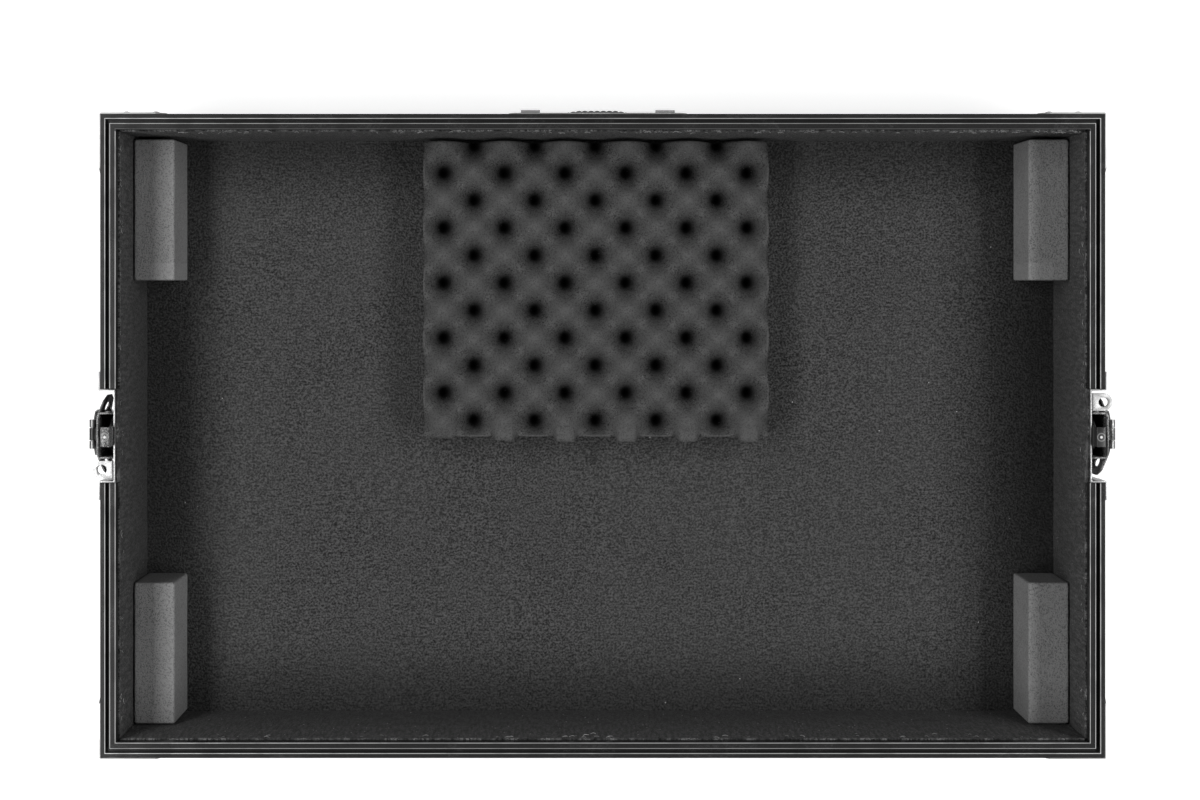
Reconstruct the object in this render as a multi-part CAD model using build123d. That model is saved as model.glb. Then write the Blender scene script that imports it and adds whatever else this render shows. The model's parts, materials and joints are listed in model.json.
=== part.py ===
from build123d import *
import os

# Base half of a flight case for a music controller: a plywood tray edged with aluminium,
# lined with felt, with foam inside, a twist latch on each short side and a handle at the rear.
# Millimetres, +Z up, +Y towards the handle. The origin is on the ground under the tray's middle.

# Driving dimensions
CASE_LENGTH = 720.0  # over the rim extrusions, along X
CASE_WIDTH = 461.5  # over the rim extrusions, along Y
INNER_DEPTH = 100.0  # from the rim down to the floor lining
PLY = 9.0
WALL = 1.05  # wall thickness of every extrusion
FELT = 2.0
SHEET = 1.2  # steel sheet of the fittings
FOOT_HEIGHT = 11.0

HALF_X = CASE_LENGTH / 2
HALF_Y = CASE_WIDTH / 2
PANEL_X = HALF_X - WALL  # outer faces of the panels
PANEL_Y = HALF_Y - WALL
INSIDE_X = PANEL_X - PLY  # inner faces of the panels
INSIDE_Y = PANEL_Y - PLY
TRAY_X = INSIDE_X - FELT  # inner faces of the lining
TRAY_Y = INSIDE_Y - FELT
FLOOR_TOP = FOOT_HEIGHT + PLY
LINING_TOP = FLOOR_TOP + FELT
RIM = LINING_TOP + INNER_DEPTH

# Rim extrusion, measured inwards from its outer face and down from its top
RIM_THICK = PLY + 2 * WALL
OUTER_LEG = 20.0
INNER_LEG = 9.0
GROOVE_START = 3.7
GROOVE_END = 6.6
GROOVE_DEPTH = 4.0
PANEL_TOP = RIM - GROOVE_DEPTH - WALL

# Angles along the bottom and up the corners
ANGLE_LEG = 22.0
ANGLE_STOP = 24.0  # the angles end this far from a bottom corner, under its ball
ANGLE_TOP = FOOT_HEIGHT - WALL + ANGLE_LEG
ANGLE_ROUND = 0.9

# Corner fittings
BRACE_LEG = 46.0
BRACE_TOP = RIM - 1.5
BRACE_LOW = RIM - 38.0
BALL_LEG = 46.0
BALL_RADIUS = 14.25
BALL_INSET = 8.5

# Rivets
RIVET_SHANK = 2.0
RIVET_HEAD = 3.6
RIVET_RISE = 1.6
RIVET_LENGTH = 7.0

# Feet
FOOT_X = 300.0
FOOT_Y = 175.0
FOOT_RADIUS = 16.0

# Foam
BLOCK_X = 31.0
BLOCK_Y = 106.0
BLOCK_HEIGHT = 50.0
BLOCK_GAP = 0.2
REAR_BLOCK_GAP = 1.6
PAD_LEFT = -134.0
PAD_RIGHT = 126.2
PAD_FRONT = -6.2
PAD_REAR = 216.4
PAD_HEIGHT = 40.0
PAD_BASE = 16.0
PEAK_PITCH_X = 45.9
PEAK_PITCH_Y = 41.75
PEAK_FIRST_X = -118.7
PEAK_FIRST_Y = 5.6
PEAK_FOOT = 15.3
PEAK_TIP = 8.0
PEAK_ROUND = 5.0

# Twist latch, drawn for the right side with +X outwards. Depths out of the dish are added
# to DISH_X, and the latch turns about the line through LATCH_Z.
FLANGE_FACE = HALF_X + 1.1
DISH_SHEET = 1.1
DISH_DEPTH = 11.0
DISH_X = FLANGE_FACE - DISH_DEPTH
DISH_HALF = 32.4
DISH_LOW = RIM - 40.0
DISH_SLOPE = 6.0
FLANGE_HALF = 46.0
FLANGE_LOW = RIM - 64.0
FLANGE_ROUND = 8.0
RIM_CUT_HALF = DISH_HALF + DISH_SHEET + 0.4
LATCH_Z = RIM - 18.0
CAM_THROW = 4.0
CAM_PIN = 2.0
CAM_RADIUS = 12.0
CAM_FACE = 3.4
CAM_THICK = 1.6
SHAFT = 4.0
RUNNING = 0.06  # radial play of the turning pieces
COVER_OUT = 13.2
COVER_SHEET = 1.5
COVER_FLAT = 13.5
EAR_TIP_Y = 29.0
EAR_TIP_OUT = 7.3
EAR_SLOT_Y = 20.5
EAR_SLOT_TALL = 12.0
EAR_SLOT_WIDE = 5.6
CAGE_HALF = 16.6
CAGE_FOOT = 8.0
COVER_TOP = RIM - 2.8
CAGE_LOW = RIM - 38.4
HOOK_BACK = 0.5
HOOK_SHEET = 2.0
HOOK_TOP = RIM + 12.0
HOOK_NOSE = 7.0
HOOK_WIDE = 15.0
HOOK_NARROW = 7.0
WING_OUT = 19.4
WING_PIN = 1.2
WING_BARREL = 2.5
WING_HALF = 10.5
WING_DROP = 23.0
BOSS_RISE = 3.2
EYE_Y = 24.2
EYE_HALF = 6.3
EYE_OUT = 8.6
EYE_HOLE = 3.35
EYE_SHEET = 1.6

# Handle on the rear panel, with heights measured outwards from the panel's face
HANDLE_X = -3.0
HANDLE_Z = 67.0
BEZEL_LONG = 148.0
BEZEL_TALL = 66.0
BEZEL_RISE = 4.2
BEZEL_SLOPE = 9.0
POCKET_LONG = 116.0
POCKET_TALL = 46.0
POCKET_DEPTH = 7.6
PIVOT_Z = HANDLE_Z + 16.4
PIVOT_OUT = 1.0
KNUCKLE_IN = 42.5
KNUCKLE_OUT = 56.5
KNUCKLE_RADIUS = 6.4
BAIL_REACH = 25.0
BAIL_LEG_X = 38.5
BAIL_ROD = 3.5
STUB = 2.5
GRIP_HALF = 28.5
GRIP_RADIUS = 8.0
GRIP_END = 5.2

SIDES = {"front": 0, "right": 90, "rear": 180, "left": 270}


def block(x, y, z):
    """A box between the two ends given on each axis."""
    size = [b - a for a, b in (x, y, z)]
    middle = [(a + b) / 2 for a, b in (x, y, z)]
    return Pos(*middle) * Box(*size)


def rod(start, end, radius):
    """A round bar from one point to another."""
    line = Vector(*end) - Vector(*start)
    face = Plane(origin=start, z_dir=line) * Circle(radius)
    return extrude(face, line.length)


def turned(shape, side):
    """Turn a shape drawn on the front side to another side of the tray."""
    return shape.rotate(Axis.Z, SIDES[side])


def side_sizes(side):
    """Half the run of a side and its distance from the middle, over the extrusions."""
    return (HALF_X, HALF_Y) if side in ("front", "rear") else (HALF_Y, HALF_X)


def mitred(section, side, start=None, end=None):
    """Run a section along a side, with its ends cut at 45 degrees where they meet a corner."""
    half, away = side_sizes(side)
    face = Plane.YZ.offset(-half) * section
    run = extrude(Pos(0, -away, 0) * face, 2 * half)
    inset = 2 * ANGLE_LEG
    inner = inset - away
    corners = [(-half, -away), (half, -away), (half - inset, inner), (inset - half, inner)]
    wedge = extrude(make_face(Polyline(*corners, close=True)), 2 * RIM)
    run = run & wedge
    if start is not None:
        run = run & block((start, end), (-away - 1, inset - away), (0, 2 * RIM))
    return turned(run, side)


def rivet(at, out, length=RIVET_LENGTH):
    """A domed rivet on the face at a point, with its shank going in against out."""
    sphere = (RIVET_HEAD**2 + RIVET_RISE**2) / (2 * RIVET_RISE)
    head = Pos(0, 0, RIVET_RISE - sphere) * Sphere(sphere) & block((-9, 9), (-9, 9), (0, 9))
    shank = Pos(0, 0, -length / 2) * Cylinder(RIVET_SHANK, length)
    return Plane(origin=at, z_dir=out) * (head + shank)


def shank(at, out, length=RIVET_LENGTH):
    """The hole that a rivet's shank fills."""
    return rod(at, Vector(*at) - Vector(*out) * length, RIVET_SHANK)


def four(shape):
    """A shape drawn at the right rear corner, and its mirrors, by corner name."""
    left = shape.mirror(Plane.YZ)
    return {
        "right_rear": shape,
        "left_rear": left,
        "right_front": shape.mirror(Plane.XZ),
        "left_front": left.mirror(Plane.XZ),
    }


# Panels and linings
def floor_panel():
    return block((-PANEL_X, PANEL_X), (-PANEL_Y, PANEL_Y), (FOOT_HEIGHT, FLOOR_TOP))


def long_panel(side):
    panel = block((-PANEL_X, PANEL_X), (-PANEL_Y, -INSIDE_Y), (FLOOR_TOP, PANEL_TOP))
    return turned(panel, side)


def short_panel(side):
    panel = block((-INSIDE_Y, INSIDE_Y), (-PANEL_X, -INSIDE_X), (FLOOR_TOP, PANEL_TOP))
    gap = RIM_CUT_HALF
    notch = block((-gap, gap), (-HALF_X, 0), (DISH_LOW - DISH_SLOPE - 3 * DISH_SHEET, RIM))
    return turned(panel - notch, side)


def rear_panel():
    gap = SHEET + 0.3
    window = block(
        (HANDLE_X - POCKET_LONG / 2 - gap, HANDLE_X + POCKET_LONG / 2 + gap),
        (0, HALF_Y),
        (HANDLE_Z - POCKET_TALL / 2 - gap, HANDLE_Z + POCKET_TALL / 2 + gap),
    )
    return long_panel("rear") - window


def floor_lining():
    return block((-INSIDE_X, INSIDE_X), (-INSIDE_Y, INSIDE_Y), (FLOOR_TOP, LINING_TOP))


def wall_lining():
    """One strip of felt round the four walls, with a tab up behind each latch dish."""
    top = RIM - INNER_LEG - 0.2
    outside = block((-INSIDE_X, INSIDE_X), (-INSIDE_Y, INSIDE_Y), (LINING_TOP, top))
    tab = RIM_CUT_HALF - 0.3
    outside += block((-INSIDE_X, INSIDE_X), (-tab, tab), (top - 1, RIM - 1.5))
    hollow = block((-TRAY_X, TRAY_X), (-TRAY_Y, TRAY_Y), (0, RIM))
    strip = outside - hollow
    behind = DISH_X - DISH_SHEET - 0.05
    for outer in (-1, 1):
        ends = sorted((outer * behind, outer * HALF_X))
        relief = RIM_CUT_HALF + 0.3
        strip -= block(ends, (-relief, relief), (DISH_LOW - DISH_SLOPE - 3, RIM))
    return strip


# Extrusions
def rim_section():
    """Channel over the panel's edge with a groove in its top for the other half's tongue."""
    inner = RIM_THICK
    points = [
        (0, -OUTER_LEG),
        (0, 0),
        (GROOVE_START, 0),
        (GROOVE_START, -GROOVE_DEPTH),
        (GROOVE_END, -GROOVE_DEPTH),
        (GROOVE_END, 0),
        (inner, 0),
        (inner, -INNER_LEG),
        (inner - WALL, -INNER_LEG),
        (inner - WALL, -WALL),
        (GROOVE_END + WALL, -WALL),
        (GROOVE_END + WALL, -GROOVE_DEPTH - WALL),
        (GROOVE_START - WALL, -GROOVE_DEPTH - WALL),
        (GROOVE_START - WALL, -WALL),
        (WALL, -WALL),
        (WALL, -OUTER_LEG),
    ]
    face = make_face(Polyline(*[(t, RIM + z) for t, z in points], close=True))
    lips = [v for v in face.vertices() if abs(v.Y - RIM) < 0.01]
    return fillet(lips, 0.5)


def angle_section():
    low = FOOT_HEIGHT - WALL
    foot = [(0, low), (ANGLE_LEG, low), (ANGLE_LEG, low + WALL)]
    leg = [(WALL, low + WALL), (WALL, ANGLE_TOP), (0, ANGLE_TOP)]
    face = make_face(Polyline(*foot, *leg, close=True))
    return fillet([v for v in face.vertices() if v.X < 0.01 and v.Y < low + 0.01], ANGLE_ROUND)


def rims():
    out = {}
    for side in ("front", "rear"):
        out[f"{side}_rim"] = mitred(rim_section(), side)
    for side, ends in (("right", ("front", "rear")), ("left", ("rear", "front"))):
        half = side_sizes(side)[0]
        out[f"{side}_{ends[0]}_rim"] = mitred(rim_section(), side, -half, -RIM_CUT_HALF)
        out[f"{side}_{ends[1]}_rim"] = mitred(rim_section(), side, RIM_CUT_HALF, half)
    return out


def bottom_angle(side):
    reach = side_sizes(side)[0] - ANGLE_STOP
    return mitred(angle_section(), side, -reach, reach)


def corner_angle():
    height = (ANGLE_TOP + 0.3, RIM - OUTER_LEG)
    outside = block((HALF_X - ANGLE_LEG, HALF_X), (HALF_Y - ANGLE_LEG, HALF_Y), height)
    outside = fillet(outside.edges().filter_by(Axis.Z).group_by(SortBy.DISTANCE)[-1], ANGLE_ROUND)
    return outside - block((0, PANEL_X), (0, PANEL_Y), (0, RIM))


def brace():
    """L plate round a rim corner, with its free ends cut off at the corners."""
    span = (BRACE_LOW, BRACE_TOP)
    plate = block((HALF_X - BRACE_LEG, HALF_X + SHEET), (HALF_Y - BRACE_LEG, HALF_Y + SHEET), span)
    outermost = plate.edges().filter_by(Axis.Z).sort_by(lambda e: e.center().X + e.center().Y)[-1]
    plate = fillet(outermost, 1.6)
    plate -= block((0, HALF_X), (0, HALF_Y), (0, 2 * RIM))
    cut = 10.0
    for low in (BRACE_LOW, BRACE_TOP):
        ends = Pos(HALF_X - BRACE_LEG, HALF_Y, low) * Rot(0, 45, 0) * Box(cut, 9, cut)
        sides = Pos(HALF_X, HALF_Y - BRACE_LEG, low) * Rot(45, 0, 0) * Box(9, cut, cut)
        plate = plate - ends - sides
    return plate


def ball_corner():
    """Three plates on the faces of a bottom corner, joined by a hollow ball over its point."""
    low = FOOT_HEIGHT - WALL
    case = block((0, HALF_X), (0, HALF_Y), (low, RIM))
    height = (low - SHEET, low + BALL_LEG)
    plates = block((HALF_X - BALL_LEG, HALF_X + SHEET), (HALF_Y - BALL_LEG, HALF_Y + SHEET), height)
    for a, b in ((0, 1), (1, 2), (0, 2)):
        turn = [45 if axis not in (a, b) else 0 for axis in range(3)]
        far = [HALF_X, HALF_Y, low]
        far[a] -= BALL_LEG if a < 2 else -BALL_LEG
        far[b] -= BALL_LEG if b < 2 else -BALL_LEG
        plates -= Pos(*far) * Rot(*turn) * Box(BALL_LEG, BALL_LEG, BALL_LEG)
    centre = Pos(HALF_X - BALL_INSET, HALF_Y - BALL_INSET, low + BALL_INSET)
    hollow = centre * Sphere(BALL_RADIUS - SHEET)
    return (plates + centre * Sphere(BALL_RADIUS)) - case - hollow


# Feet
def feet():
    places = [Pos(x, y, 0) for x in (-FOOT_X, FOOT_X) for y in (-FOOT_Y, FOOT_Y)]
    cone = Pos(0, 0, FOOT_HEIGHT / 2) * Cone(FOOT_RADIUS - 2.5, FOOT_RADIUS, FOOT_HEIGHT)
    cone = fillet(cone.edges().group_by(Axis.Z)[0], 1.5)
    rubber = cone - rod((0, 0, 0), (0, 0, 5), 7.0) - rod((0, 0, 4), (0, 0, FOOT_HEIGHT), RIVET_SHANK)
    screw = rod((0, 0, 2.6), (0, 0, 4.2), 4.0) + rod((0, 0, 4.2), (0, 0, 5), 6.5)
    screw += rod((0, 0, 4), (0, 0, FOOT_HEIGHT + 6), RIVET_SHANK)
    return [place * rubber for place in places], [place * screw for place in places]


# Foam
def foam_block():
    x = (TRAY_X - BLOCK_GAP - BLOCK_X, TRAY_X - BLOCK_GAP)
    y = (TRAY_Y - BLOCK_GAP - BLOCK_Y, TRAY_Y - BLOCK_GAP)
    return block(x, y, (LINING_TOP, LINING_TOP + BLOCK_HEIGHT))


def foam_blocks():
    blocks = four(foam_block())
    shift = Pos(0, BLOCK_GAP - REAR_BLOCK_GAP, 0)
    return {f"{name}_foam_block": shift * b if "rear" in name else b for name, b in blocks.items()}


def egg_crate_pad():
    """A slab with a chequered field of blunt cones on it, cut off square at its four edges."""
    x = (PAD_LEFT, PAD_RIGHT)
    y = (PAD_FRONT, PAD_REAR)
    foot = LINING_TOP + PAD_BASE
    edges = block(x, y, (foot, LINING_TOP + PAD_HEIGHT))
    rise = PAD_HEIGHT - PAD_BASE
    cone = Pos(0, 0, foot + rise / 2) * Cone(PEAK_FOOT, PEAK_TIP, rise)
    cone = fillet(cone.edges().group_by(Axis.Z)[-1], PEAK_ROUND)
    solids = [block(x, y, (LINING_TOP, foot))]
    for row in range(12):
        for column in range(-1, 7):
            px = PEAK_FIRST_X + (column + (row % 2) / 2) * PEAK_PITCH_X
            py = PEAK_FIRST_Y + row * PEAK_PITCH_Y / 2
            reach = PEAK_FOOT - 3
            if x[0] - reach < px < x[1] + reach and y[0] - reach < py < y[1] + reach:
                solids += (Pos(px, py, 0) * cone & edges).solids()
    return solids


# Latch
def latch_dish():
    """Pressed sheet: a flange over the rim and the panel, round a pocket open at the top."""
    back = DISH_X - DISH_SHEET
    wall = DISH_HALF + DISH_SHEET
    low = DISH_LOW - 1.5 * DISH_SHEET
    step = RIM - OUTER_LEG - 0.5
    flange = (-FLANGE_HALF, FLANGE_HALF)
    upper = block((HALF_X, FLANGE_FACE), flange, (step - DISH_SHEET, RIM))
    joggle = block((PANEL_X, FLANGE_FACE), flange, (step - DISH_SHEET, step))
    lower = block((PANEL_X, PANEL_X + DISH_SHEET), flange, (FLANGE_LOW, step))
    lower = fillet(lower.edges().filter_by(Axis.X).group_by(Axis.Z)[0], FLANGE_ROUND)
    face = PANEL_X + DISH_SHEET
    front = FLANGE_FACE + 1
    outer = [(back, RIM), (back, low), (face, low - DISH_SLOPE), (face, RIM)]
    inner = [(DISH_X, RIM + 1), (DISH_X, DISH_LOW), (front, DISH_LOW - DISH_SLOPE - 0.6), (front, RIM + 1)]
    shell = extrude(Plane.XZ * make_face(Polyline(*outer, close=True)), wall, both=True)
    shell += block((HALF_X - 3, HALF_X + 0.1), (-wall, wall), (step, RIM))
    hole = extrude(Plane.XZ * make_face(Polyline(*inner, close=True)), DISH_HALF, both=True)
    hole = fillet(hole.edges().filter_by(lambda e: abs(e.center().X - DISH_X) < 0.1 and e.length > 30), 1.5)
    return upper + joggle + lower + shell - hole


def latch_eye():
    """L plate on the dish with a round-ended tab for a padlock, flat under the rim plane."""
    top = RIM - 0.6
    out = DISH_X + EYE_OUT
    tab = block((DISH_X, out), (EYE_Y - EYE_HALF, EYE_Y + EYE_HALF), (top - EYE_SHEET, top))
    tab += Pos(out, EYE_Y, top - EYE_SHEET / 2) * Cylinder(EYE_HALF, EYE_SHEET)
    tab += block((DISH_X, DISH_X + EYE_SHEET), (EYE_Y - EYE_HALF, EYE_Y + EYE_HALF), (top - 12, top))
    rear = [e for e in tab.edges().filter_by(Axis.Y) if e.center().X < DISH_X + 0.1]
    tab = fillet([e for e in rear if e.center().Z > top - 2], 1.4)
    return tab - rod((out, EYE_Y, top - 3), (out, EYE_Y, top + 1), EYE_HOLE)


def latch_cover():
    """Front plate of the latch, with ears that slant back and a bearing for the cam."""
    outer = DISH_X + COVER_OUT
    tip = DISH_X + EAR_TIP_OUT
    face = [(tip, -EAR_TIP_Y), (outer, -COVER_FLAT), (outer, COVER_FLAT), (tip, EAR_TIP_Y)]
    rear = [(x - COVER_SHEET, y) for x, y in reversed(face)]
    plan = make_face(Polyline(*face, *rear, close=True))
    tall = COVER_TOP - CAGE_LOW
    plate = extrude(Pos(0, 0, CAGE_LOW) * plan, tall)
    half = [(17, tall), (25, tall - 1), (EAR_TIP_Y, 28), (EAR_TIP_Y, 18), (25.5, 8), (17, 0)]
    outline = half + [(-y, z) for y, z in reversed(half)]
    shape = make_face(Polyline(*[(y, CAGE_LOW + z) for y, z in outline], close=True))
    shape = fillet([v for v in shape.vertices() if abs(v.X) > 24], 3.0)
    plate = plate & extrude(Plane.YZ.offset(DISH_X) * shape, 2 * COVER_OUT)
    slot = SlotOverall(EAR_SLOT_TALL, EAR_SLOT_WIDE, rotation=90)
    for side in (-1, 1):
        place = Plane.YZ.offset(DISH_X) * Pos(side * EAR_SLOT_Y, RIM - 20)
        plate -= extrude(place * slot, 2 * COVER_OUT)
    return plate - rod((DISH_X, 0, LATCH_Z), (DISH_X + 20, 0, LATCH_Z), SHAFT + RUNNING)


def latch_cage():
    """Sides and bottom of the latch, with feet riveted to the dish."""
    front = DISH_X + COVER_OUT - COVER_SHEET
    tip = DISH_X + EAR_TIP_OUT - COVER_SHEET
    hollow = CAGE_HALF - SHEET
    foot = CAGE_HALF + CAGE_FOOT
    far = 2 * HALF_X
    box = block((DISH_X, front), (-CAGE_HALF, CAGE_HALF), (CAGE_LOW, RIM - 3))
    box -= block((0, far), (-hollow, hollow), (CAGE_LOW + SHEET, RIM))
    sole = block((DISH_X, DISH_X + SHEET), (-foot, foot), (RIM - 36, RIM - 16))
    sole -= block((0, far), (-CAGE_HALF, CAGE_HALF), (0, RIM))
    plan = [(tip, -EAR_TIP_Y), (front, -COVER_FLAT), (front, COVER_FLAT), (tip, EAR_TIP_Y)]
    beyond = [(far, EAR_TIP_Y), (far, -EAR_TIP_Y)]
    behind_cover = extrude(make_face(Polyline(*plan, *beyond, close=True)), 2 * RIM)
    return box + sole - behind_cover


def latch_cam():
    """Disc with an eccentric pin behind it and the shaft with the wing's knuckle in front."""
    def at(w, y=0.0, z=0.0):
        return (DISH_X + w, y, LATCH_Z + z)

    cam = rod(at(CAM_FACE), at(CAM_FACE + CAM_THICK), CAM_RADIUS)
    cam += rod(at(0.4, 0, CAM_THROW), at(CAM_FACE + 0.5, 0, CAM_THROW), CAM_PIN)
    cam += rod(at(CAM_FACE), at(15.6), SHAFT)
    neck = block((DISH_X + 14.4, DISH_X + WING_OUT), (-4.2, 4.2), (LATCH_Z - 2.2, LATCH_Z + 2.2))
    knuckle = rod(at(WING_OUT, -4.4), at(WING_OUT, 4.4), WING_BARREL)
    return cam + neck + knuckle - rod(at(WING_OUT, -9), at(WING_OUT, 9), WING_PIN)


def latch_wing():
    """Butterfly plate that hangs from two barrels, with a pressed boss in its middle."""
    out = DISH_X + WING_OUT
    half = [(5, -1), (WING_HALF, -1), (WING_HALF, -5), (16, -9), (17, -16), (12, -WING_DROP), (5, -20)]
    inside = [(-5, -5), (5, -5)]
    outline = half + [(-y, z) for y, z in reversed(half)] + inside
    shape = make_face(Polyline(*[(y, LATCH_Z + z) for y, z in outline], close=True))
    shape = fillet([v for v in shape.vertices() if v.Y < LATCH_Z - 6], 2.0)
    plate = extrude(Plane.YZ.offset(out - 0.7) * shape, 1.4)
    boss = Pos(0, 0, BOSS_RISE / 2) * Cone(6.6, 4.0, BOSS_RISE)
    boss = fillet(boss.edges().group_by(Axis.Z)[-1], 1.5)
    plate += Plane(origin=(out, 0, LATCH_Z - 13), z_dir=(1, 0, 0)) * boss
    for side in (-1, 1):
        plate += rod((out, side * 4.9, LATCH_Z), (out, side * WING_HALF, LATCH_Z), WING_BARREL)
    gap = block((DISH_X, out + 9), (-4.9, 4.9), (LATCH_Z - 4.6, LATCH_Z + 9))
    return plate - gap - rod((out, -20, LATCH_Z), (out, 20, LATCH_Z), WING_PIN + RUNNING)


def latch_wing_pin():
    return rod((DISH_X + WING_OUT, -WING_HALF, LATCH_Z), (DISH_X + WING_OUT, WING_HALF, LATCH_Z), WING_PIN)


def latch_hook():
    """Plate that the cam's pin lifts and lowers, with a nose at its top that faces outwards."""
    back = DISH_X + HOOK_BACK
    front = back + HOOK_SHEET
    plate = block((back, front), (-HOOK_WIDE, HOOK_WIDE), (LATCH_Z - 9, LATCH_Z + 10))
    plate = fillet(plate.edges().filter_by(Axis.X), 2.0)
    plate += block((back, front), (-HOOK_NARROW, HOOK_NARROW), (LATCH_Z, HOOK_TOP))
    nose = block((back, DISH_X + HOOK_NOSE), (-HOOK_NARROW, HOOK_NARROW), (HOOK_TOP - 3, HOOK_TOP))
    nose = fillet(nose.edges().filter_by(Axis.Y).group_by(Axis.X)[-1], 1.4)
    sideways = CAM_THROW + CAM_PIN + 0.5
    upwards = CAM_PIN + 0.21 * CAM_THROW + 0.12  # the pin's path leaves the straight line by 0.21 throws
    slot = SlotOverall(2 * sideways, 2 * upwards)
    hole = extrude(Plane.YZ.offset(DISH_X - 1) * Pos(0, LATCH_Z + CAM_THROW) * slot, 2 * HOOK_SHEET)
    return plate + nose - hole


# Handle
def handle_dish():
    """Raised bezel round a pocket let into the panel, with the two bearings of the bail."""
    plane = Plane(origin=(HANDLE_X, PANEL_Y, HANDLE_Z), x_dir=(-1, 0, 0), z_dir=(0, 1, 0))

    def frustum(shrink):
        long = BEZEL_LONG - 2 * shrink
        tall = BEZEL_TALL - 2 * shrink
        low = RectangleRounded(long, tall, 9)
        top = RectangleRounded(long - 2 * BEZEL_SLOPE, tall - BEZEL_SLOPE, 6)
        return loft([low, Pos(0, 0, BEZEL_RISE - shrink * 0.6) * top])

    def pocket(grow, depth):
        shape = RectangleRounded(POCKET_LONG + 2 * grow, POCKET_TALL + 2 * grow, 6 + grow)
        return extrude(Pos(0, 0, -depth) * shape, depth + BEZEL_RISE - (0.3 if grow else -1))

    cavity = frustum(1.6) & block((-99, 99), (-99, 99), (0, BEZEL_RISE - SHEET))
    dish = (frustum(0) - cavity) + pocket(SHEET, POCKET_DEPTH + SHEET)
    dish = dish - pocket(0, POCKET_DEPTH)
    dish = plane * dish
    for side in (-1, 1):
        inner = HANDLE_X + side * KNUCKLE_IN
        outer = HANDLE_X + side * KNUCKLE_OUT
        axis = PANEL_Y + PIVOT_OUT
        round_part = rod((inner, axis, PIVOT_Z), (outer, axis, PIVOT_Z), KNUCKLE_RADIUS)
        top = HANDLE_Z + POCKET_TALL / 2 + 0.5
        web = block(sorted((inner, outer)), (axis - KNUCKLE_RADIUS, PANEL_Y + BEZEL_RISE), (PIVOT_Z, top))
        dish += round_part + web
        dish -= rod((inner, axis, PIVOT_Z), (outer, axis, PIVOT_Z), STUB + RUNNING)
        dish -= rod((inner + side * 3, axis, PIVOT_Z), (outer - side * 3, axis, PIVOT_Z), 5.0)
    return dish


def handle_springs():
    """The two torsion springs round the bail's ends, each as the sleeve that its coil fills."""
    springs = []
    for side in (-1, 1):
        reaches = (KNUCKLE_IN + 3.3, KNUCKLE_OUT - 3.3)
        ends = [(HANDLE_X + side * reach, PANEL_Y + PIVOT_OUT, PIVOT_Z) for reach in reaches]
        springs.append(rod(*ends, 4.8) - rod(*ends, STUB + 0.35))
    return springs


def handle_bail():
    """Bent rod with a stub in each bearing, hanging down into the pocket."""
    axis = PANEL_Y + PIVOT_OUT
    low = PIVOT_Z - BAIL_REACH
    ends = [HANDLE_X - BAIL_LEG_X, HANDLE_X + BAIL_LEG_X]
    places = ((ends[0], PIVOT_Z), (ends[0], low), (ends[1], low), (ends[1], PIVOT_Z))
    corners = [(x, axis, z) for x, z in places]
    path = FilletPolyline(*corners, radius=8)
    bail = sweep(Plane(origin=corners[0], z_dir=(0, 0, -1)) * Circle(BAIL_ROD), path)
    for side, x in zip((-1, 1), ends):
        bail += Pos(x, axis, PIVOT_Z) * Sphere(BAIL_ROD)
        bail += rod((x, axis, PIVOT_Z), (HANDLE_X + side * (KNUCKLE_OUT - 0.5), axis, PIVOT_Z), STUB)
    return bail


def handle_grip():
    """Soft sleeve round the rod, thickest in its middle."""
    profile = [
        (-GRIP_HALF, BAIL_ROD),
        (-GRIP_HALF, GRIP_END),
        (-22, 6.9),
        (-14, GRIP_RADIUS),
        (14, GRIP_RADIUS),
        (22, 6.9),
        (GRIP_HALF, GRIP_END),
        (GRIP_HALF, BAIL_ROD),
    ]
    face = make_face(Polyline(*profile, close=True))
    face = fillet([v for v in face.vertices() if 4 < v.Y < 7], 1.0)
    sleeve = revolve(face, Axis.X)
    return Pos(HANDLE_X, PANEL_Y + PIVOT_OUT, PIVOT_Z - BAIL_REACH) * sleeve


# Rivets
def corner_rivets():
    """Places and outward directions of the rivets in one brace and one ball corner."""
    upper = RIM - 12.0
    lower = RIM - 29.0
    low = FOOT_HEIGHT - WALL
    found = []
    for along, z in ((16.5, upper), (37.5, upper), (16.5, lower)):
        found.append(((HALF_X - along, HALF_Y + SHEET, z), (0, 1, 0)))
        found.append(((HALF_X + SHEET, HALF_Y - along, z), (1, 0, 0)))
    found.append(((HALF_X - 24, HALF_Y + SHEET, low + 14), (0, 1, 0)))
    found.append(((HALF_X + SHEET, HALF_Y - 24, low + 14), (1, 0, 0)))
    found.append(((HALF_X - 20, HALF_Y - 20, low - SHEET), (0, 0, -1)))
    return found


def mirrored(found, x=1, y=1):
    return [((p[0] * x, p[1] * y, p[2]), (d[0] * x, d[1] * y, d[2])) for p, d in found]


def long_rivets():
    """Every rivet that ends in plywood."""
    found = []
    for x in (-1, 1):
        for y in (-1, 1):
            found += mirrored(corner_rivets(), x, y)
    flange = [((FLANGE_FACE, y, RIM - 11), (1, 0, 0)) for y in (-40, 40)]
    flange += [((PANEL_X + DISH_SHEET, y, RIM - 55), (1, 0, 0)) for y in (-36, 36)]
    found += flange + mirrored(flange, -1, -1)
    found += [((HANDLE_X + x, PANEL_Y + BEZEL_RISE, HANDLE_Z), (0, 1, 0)) for x in (-61.6, 61.6)]
    middle = FOOT_HEIGHT - WALL + 14
    for x in (-240, -120, 0, 120, 240):
        found += [((x, -HALF_Y, middle), (0, -1, 0)), ((x, HALF_Y, middle), (0, 1, 0))]
    for y in (-110, 0, 110):
        found += [((-HALF_X, y, middle), (-1, 0, 0)), ((HALF_X, y, middle), (1, 0, 0))]
    return found


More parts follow.
